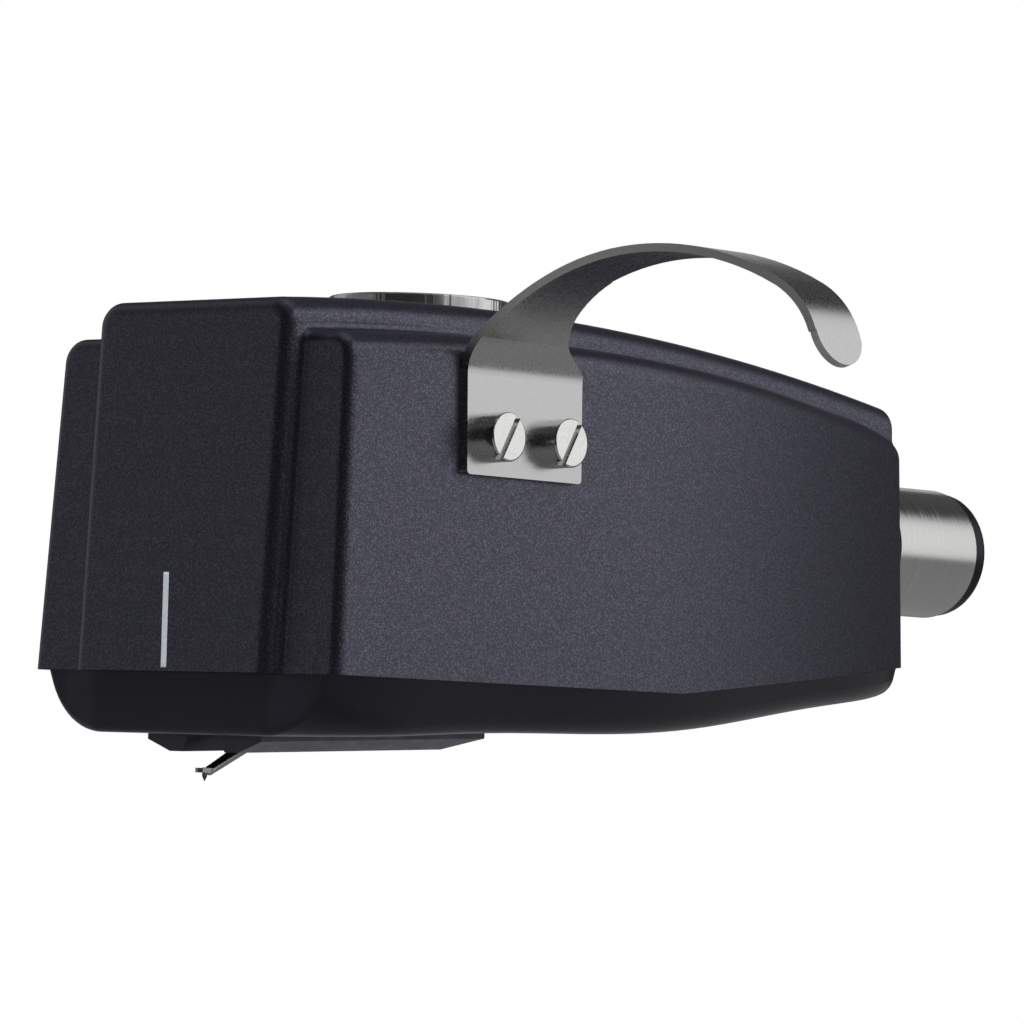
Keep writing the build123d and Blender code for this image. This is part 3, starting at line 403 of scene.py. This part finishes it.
# %% [markdown]
# ## Shell enamel
# The shell is sprayed with a blue-black enamel that holds fine metal flakes. A picture of speckles
# could give the sparkle, but cells of noise do it at any distance: each cell is about the size of
# one flake, three in ten of them are dull metal, and a fine bump gives the spray's grain.

# %% Enamel with flakes
ENAMEL = (0.0052, 0.0052, 0.0075, 1)
# painted light: the enamel's reflections are tinted blue for a bluish cast of the light
ENAMEL_BLUE_LIGHT_CAST = (0.74, 0.74, 1.0, 1)
ENAMEL_ROUGHNESS = 0.4
ENAMEL_IOR = 1.8
PLAIN_SPECULAR = 0.5
FLAKE = (0.148, 0.148, 0.19, 1)
FLAKE_SIZE = 0.06 * MM
FLAKE_SHARE = 0.3
FLAKE_FADE = 0.02
GRAIN_SIZE = 2 * FLAKE_SIZE
GRAIN_STRENGTH = 0.2
GRAIN_DEPTH = 0.01 * MM


def enamel_material():
    material, tree, output = new_material("shell_enamel")
    where = object_place(tree)
    cells = add(tree, "TexVoronoi", Scale=1 / FLAKE_SIZE)
    join(tree, where, cells.inputs["Vector"])
    each = add(tree, "SeparateColor")
    join(tree, cells.outputs["Color"], each.inputs["Color"])
    start = 1 - FLAKE_SHARE
    flake = ranged(tree, each.outputs["Red"], start, start + FLAKE_FADE, 0.0, 1.0)
    body = shader(
        tree,
        output,
        Roughness=ENAMEL_ROUGHNESS,
        IOR=ENAMEL_IOR,
        Specular_IOR_Level=PLAIN_SPECULAR,
        Specular_Tint=ENAMEL_BLUE_LIGHT_CAST,
    )
    join(tree, mixed(tree, flake, ENAMEL, FLAKE), body.inputs["Base Color"])
    join(tree, flake, body.inputs["Metallic"])
    grain = noise(tree, where, 1 / GRAIN_SIZE)
    join(tree, bumped(tree, grain, GRAIN_STRENGTH, GRAIN_DEPTH), body.inputs["Normal"])
    return material


dress(enamel_material(), "shell")

# %% [markdown]
# ## Mouldings, rubber and sleeves
# The cover, the stylus block and the plug are black mouldings, the damper and the gasket are
# rubber, and the four leads have coloured sleeves. A plain colour would do from far off. Close by,
# such surfaces are a little wavy and carry tiny specks, so a slow noise tilts them and a finer one
# varies their gloss.

# %% Moulding recipe
SPECK_SCALE = 5200
SPECK_RANGE = (0.45, 0.75)
SPECK_LIGHTER = 1.6
PATCH_SCALE = 900
PATCH_RANGE = (0.3, 0.7)
PATCH_SMOOTHER, PATCH_ROUGHER = 0.04, 0.05
WAVE_DETAIL = 1.0
WAVE_DEPTH = 0.02 * MM
NEUTRAL = (1, 1, 1, 1)


def moulded_material(name, colour, rough, wave, strength, specular=PLAIN_SPECULAR, tint=NEUTRAL):
    """A moulding with light specks, patches of more and less gloss, and slow waves."""
    material, tree, output = new_material(name)
    where = object_place(tree)
    body = shader(tree, output, Specular_IOR_Level=specular, Specular_Tint=tint)
    speck = ranged(tree, noise(tree, where, SPECK_SCALE), *SPECK_RANGE, 0, 1)
    join(tree, mixed(tree, speck, colour, shaded(colour, SPECK_LIGHTER)), body.inputs["Base Color"])
    patches = noise(tree, where, PATCH_SCALE)
    matt = ranged(tree, patches, *PATCH_RANGE, rough - PATCH_SMOOTHER, rough + PATCH_ROUGHER)
    join(tree, matt, body.inputs["Roughness"])
    waves = noise(tree, where, wave, WAVE_DETAIL)
    join(tree, bumped(tree, waves, strength, WAVE_DEPTH), body.inputs["Normal"])
    return material


# %% Mouldings, rubber and sleeves
COVER = (0.0068, 0.0062, 0.0092, 1)
BLOCK = (0.007, 0.007, 0.009, 1)
RUBBER = (0.008, 0.008, 0.009, 1)
# painted light: the mouldings' reflections are tinted blue for a bluish cast of the light
COLD_LIGHT_CAST = (0.8, 0.78, 1.0, 1)
# Each moulding: colour, roughness, scale and strength of its waves, specular level, tint and nodes
MOULDINGS = {
    "cover_plastic": (COVER, 0.2, 260, 0.12, 0.48, COLD_LIGHT_CAST, ["bottom_cover"]),
    "block_plastic": (BLOCK, 0.3, 4200, 0.12, 1.0, COLD_LIGHT_CAST, ["stylus_block"]),
    "plug_plastic": (COVER, 0.32, 2600, 0.1, 0.28, COLD_LIGHT_CAST, ["connector_insulator"]),
    "soft_rubber": (RUBBER, 0.6, 3000, 0.3, 0.3, NEUTRAL, ["damper_ring", "gasket"]),
}
SLEEVES = {
    "lead_white": (0.75, 0.74, 0.7, 1),
    "lead_blue": (0.03, 0.1, 0.42, 1),
    "lead_green": (0.03, 0.27, 0.08, 1),
    "lead_red": (0.5, 0.025, 0.02, 1),
}
SLEEVE_ROUGHNESS = 0.42
SLEEVE_WAVE = 2200
SLEEVE_STRENGTH = 0.1

for moulding, (*look, nodes) in MOULDINGS.items():
    dress(moulded_material(moulding, *look), *nodes)
for lead, colour in SLEEVES.items():
    sleeve = (colour, SLEEVE_ROUGHNESS, SLEEVE_WAVE, SLEEVE_STRENGTH)
    dress(moulded_material(lead + "_sleeve", *sleeve), lead)

# %% [markdown]
# ## Worked metals
# The lift is satin sheet steel, its screws are turned and polished, and the tube has the fine rings
# of a lathe. Inside are iron pole pieces, a cast magnet, an aluminium tube that holds the stylus,
# and gold-plated contacts. One recipe serves them all: noise stretched along the direction in which
# the metal was worked, as a bump, a tone and a change of gloss. Anisotropic shading would be another
# way, but it needs a direction at every point, which a bent strip doesn't give by itself.

# %% Metal recipe
LINE_DETAIL = 3.0
LINE_DEPTH = 0.01 * MM
LINE_DARKER = 0.88
TONE_RANGE = (0.35, 0.65)
ROUGH_RANGE = (0.3, 0.7)


def metal_material(name, colour, rough, stretch, strength, vary):
    """Metal with the marks of its working, stretched along the axes with the smaller scales."""
    material, tree, output = new_material(name)
    where = object_place(tree, stretch)
    body = shader(tree, output, Metallic=1.0)
    lines = noise(tree, where, 1.0, LINE_DETAIL)
    tone = ranged(tree, lines, *TONE_RANGE, 0, 1)
    join(tree, mixed(tree, tone, shaded(colour, LINE_DARKER), colour), body.inputs["Base Color"])
    matt = ranged(tree, lines, *ROUGH_RANGE, rough - vary, rough + vary)
    join(tree, matt, body.inputs["Roughness"])
    join(tree, bumped(tree, lines, strength, LINE_DEPTH), body.inputs["Normal"])
    return material


# %% Worked metals
STEEL = (0.505, 0.505, 0.502, 1)
NICKEL = (0.588, 0.582, 0.576, 1)
POLISHED = (0.66, 0.657, 0.65, 1)
IRON = (0.36, 0.35, 0.34, 1)
CAST = (0.28, 0.27, 0.26, 1)
ALUMINIUM = (0.42, 0.42, 0.43, 1)
GOLD = (0.78, 0.56, 0.24, 1)
EVEN = (5200, 5200, 5200)
VARY = 0.06
INNER_SCREWS = ["generator_screws", "pole_pin_screw", "tie_wire"]
POLES = ["front_yoke", "rear_yoke", "pole_pin"]
CONTACTS = ["contact_pins", "output_terminals"]
# Each metal: colour, roughness, scale of its marks along X, Y and Z, their strength, how far the
# roughness varies, and nodes
METALS = {
    "lift_steel": (STEEL, 0.26, (6000, 1600, 6000), 0.02, 0.04, ["finger_lift"]),
    "screw_steel": (POLISHED, 0.16, EVEN, 0.04, VARY, ["finger_lift_screws", "cover_screw"]),
    "tube_nickel": (NICKEL, 0.2, (9000, 220, 220), 0.14, VARY, ["connector_tube"]),
    "inner_steel": (STEEL, 0.3, EVEN, 0.1, VARY, INNER_SCREWS),
    "nut_nickel": (NICKEL, 0.28, (9000, 900, 900), 0.12, VARY, ["connector_nut", "locking_pin"]),
    "pole_iron": (IRON, 0.36, (2600, 2600, 7000), 0.12, VARY, POLES),
    "magnet_cast": (CAST, 0.5, (1800, 1800, 1800), 0.4, VARY, ["magnet"]),
    "former_iron": (IRON, 0.4, (6000, 6000, 6000), 0.1, VARY, ["coil_former"]),
    "stylus_tube": (ALUMINIUM, 0.24, (9000, 9000, 2600), 0.06, VARY, ["cantilever"]),
    "contact_gold": (GOLD, 0.2, (7000, 1500, 1500), 0.08, VARY, CONTACTS),
}

for metal, (*look, nodes) in METALS.items():
    dress(metal_material(metal, *look), *nodes)

# %% [markdown]
# ## Turned disc
# The disc on the roof is turned on a lathe and chromed. Its fine grooves run round it, so they draw
# out each highlight across them. Here anisotropic shading fits, since a round piece has a direction
# at every point from its own axis. Grooves cut one by one in a mesh would be far too many.

# %% Turned disc
CHROME = (0.82, 0.82, 0.81, 1)
DISC_MIDDLE_X = -35.8 * MM
DISC_RADIUS = 5.2 * MM
DISC_ROUGHNESS = 0.32
DISC_ANISOTROPY = 0.95
QUARTER_TURN = 0.25
DISC_STRETCH = (1500, 1500, 60)
DISC_DARKER = 0.85
EDGE_START, EDGE_FULL = 0.97 * DISC_RADIUS, 0.99 * DISC_RADIUS
MARK_DEPTH = 0.1 * MM
RING_PITCH = 0.2 * MM
RING_SHARE = 0.01


def turned_disc_material():
    """Chrome turned about an upright axis: rings on the top by the sine of the radius, upright marks
    on the edge alone, and a gloss drawn out across the fine grooves that run round it."""
    material, tree, output = new_material("disc_chrome")
    body = shader(
        tree,
        output,
        Metallic=1.0,
        Roughness=DISC_ROUGHNESS,
        Anisotropic=DISC_ANISOTROPY,
        Anisotropic_Rotation=QUARTER_TURN,
    )
    around = add(tree, "Tangent")
    around.direction_type = "RADIAL"
    around.axis = "Z"
    join(tree, around.outputs["Tangent"], body.inputs["Tangent"])
    lines = noise(tree, object_place(tree, DISC_STRETCH), 1.0, LINE_DETAIL)
    join(tree, mixed(tree, lines, shaded(CHROME, DISC_DARKER), CHROME), body.inputs["Base Color"])
    centred = add(tree, "Mapping", Location=(-DISC_MIDDLE_X, 0, 0))
    join(tree, object_place(tree), centred.inputs["Vector"])
    part = add(tree, "SeparateXYZ")
    join(tree, centred.outputs["Vector"], part.inputs["Vector"])
    sides = [figured(tree, "ABSOLUTE", part.outputs[axis]) for axis in "XY"]
    squares = [figured(tree, "POWER", side, 2.0) for side in sides]
    reach = figured(tree, "SQRT", figured(tree, "ADD", *squares))
    on_edge = ranged(tree, reach, EDGE_START, EDGE_FULL, 0.0, 1.0)
    marks = figured(tree, "MULTIPLY", lines, on_edge)
    rings = figured(tree, "SINE", figured(tree, "MULTIPLY", reach, 2 * np.pi / RING_PITCH))
    height = figured(tree, "ADD", marks, figured(tree, "MULTIPLY", rings, RING_SHARE))
    join(tree, bumped(tree, height, 1.0, MARK_DEPTH), body.inputs["Normal"])
    return material


dress(turned_disc_material(), "top_disc")

# %% [markdown]
# ## Coils and stylus
# Each coil is hair-thin lacquered copper wire, wound round two arms of a cross. The turns could be
# modelled one by one, but they are far too fine to see singly, so rounded bands across the arm
# stand for them, with painted shade darkening the gaps between them. The stylus is a diamond, dark
# and very glossy because it bends light so strongly.

# %% Coils and stylus
COPPER = (0.62, 0.25, 0.11, 1)
COPPER_METAL = 0.8
COPPER_ROUGHNESS = 0.34
WIRE_PITCH = 0.04 * MM
# painted shade: the copper's share that is left in the gaps between turns
WIRE_GAP_SHADE = 0.35
WIRE_STRENGTH = 0.6
WIRE_DEPTH = 0.01 * MM
GENERATOR_RAKE = radians(27)
ARM_TURNS = {"left": 45, "right": 135}
DIAMOND_DARK = (0.008, 0.008, 0.008, 1)
DIAMOND_LIGHT = (0.03, 0.03, 0.028, 1)
DIAMOND_IOR = 2.4
DIAMOND_SPECULAR = 0.2
DIAMOND_ROUGHNESS = (0.04, 0.12)
CLOUD_SCALE = 6000
CLOUD_RANGE = (0.3, 0.7)


def winding_material(name, turn):
    """Copper turns across an arm that is turned by that angle in the raked plane of the cross, with
    painted shade darkening the gaps between turns.
    """
    material, tree, output = new_material(name)
    where = object_place(tree)
    rise = sin(radians(turn))
    axis = (-sin(GENERATOR_RAKE) * rise, cos(radians(turn)), cos(GENERATOR_RAKE) * rise)
    turns = banded(tree, where, axis, WIRE_PITCH)
    body = shader(tree, output, Metallic=COPPER_METAL, Roughness=COPPER_ROUGHNESS)
    join(tree, mixed(tree, turns, shaded(COPPER, WIRE_GAP_SHADE), COPPER), body.inputs["Base Color"])
    join(tree, bumped(tree, turns, WIRE_STRENGTH, WIRE_DEPTH), body.inputs["Normal"])
    return material


def diamond_material():
    material, tree, output = new_material("stylus_diamond")
    body = shader(tree, output, IOR=DIAMOND_IOR, Specular_IOR_Level=DIAMOND_SPECULAR)
    cloud = noise(tree, object_place(tree), CLOUD_SCALE)
    join(tree, mixed(tree, cloud, DIAMOND_DARK, DIAMOND_LIGHT), body.inputs["Base Color"])
    matt = ranged(tree, cloud, *CLOUD_RANGE, *DIAMOND_ROUGHNESS)
    join(tree, matt, body.inputs["Roughness"])
    return material


for side, turn in ARM_TURNS.items():
    dress(winding_material(side + "_winding", turn), side + "_coil")
dress(diamond_material(), "stylus_tip")

# %% [markdown]
# ## Cue mark
# A thin white line is printed on the nose, right above the stylus, to show where the stylus will
# land. It could be drawn into the enamel's shader. A film of its own, a little proud of the panel
# and brought down to it at the edges, keeps a crisp outline and its own gloss.

# %% White cue mark
PAINT = (0.77, 0.86, 1.0, 1)
PAINT_ROUGHNESS = 0.5
PAINT_WAVE = 3000
PAINT_STRENGTH = 0.1
MARK_TOP = -4.5 * MM
MARK_FOOT = -9.7 * MM
MARK_HALF = 0.21 * MM
MARK_MIDDLE_TOP = 0.56 * MM
MARK_MIDDLE_FOOT = 0.28 * MM
MARK_FILM = 0.02 * MM
MARK_SIDE_POWER = 8
MARK_END_POWER = 60
MARK_ROWS, MARK_COLUMNS = 61, 13
PANEL_FOOT_X = -54.98 * MM
PANEL_FOOT_Z = -9.9 * MM
PANEL_LEAN = tan(radians(2.5))


def mark_points(rows, columns):
    """A strip on the leaning panel: height by rows, width by columns, thick in its middle, and
    brought down to the panel's face at its edges by a power of the distance from the middle."""
    up = np.linspace(-1, 1, rows)[:, None]
    side = np.linspace(-1, 1, columns)[None, :]
    height = (MARK_TOP + MARK_FOOT) / 2 + up * (MARK_TOP - MARK_FOOT) / 2 + 0 * side
    sway = up * (MARK_MIDDLE_TOP - MARK_MIDDLE_FOOT) / 2
    middle = (MARK_MIDDLE_TOP + MARK_MIDDLE_FOOT) / 2 + sway
    film = MARK_FILM * (1 - np.abs(side) ** MARK_SIDE_POWER) * (1 - np.abs(up) ** MARK_END_POWER)
    x = PANEL_FOOT_X + (height - PANEL_FOOT_Z) * PANEL_LEAN - film
    return np.stack([x, middle - side * MARK_HALF, height], axis=-1)


mark = surface("cue_mark", mark_points(MARK_ROWS, MARK_COLUMNS))
paint = moulded_material("mark_paint", PAINT, PAINT_ROUGHNESS, PAINT_WAVE, PAINT_STRENGTH)
mark.data.materials.append(paint)
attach(mark, "headshell")
print("mark:", round((MARK_TOP - MARK_FOOT) / MM, 1), "mm long")
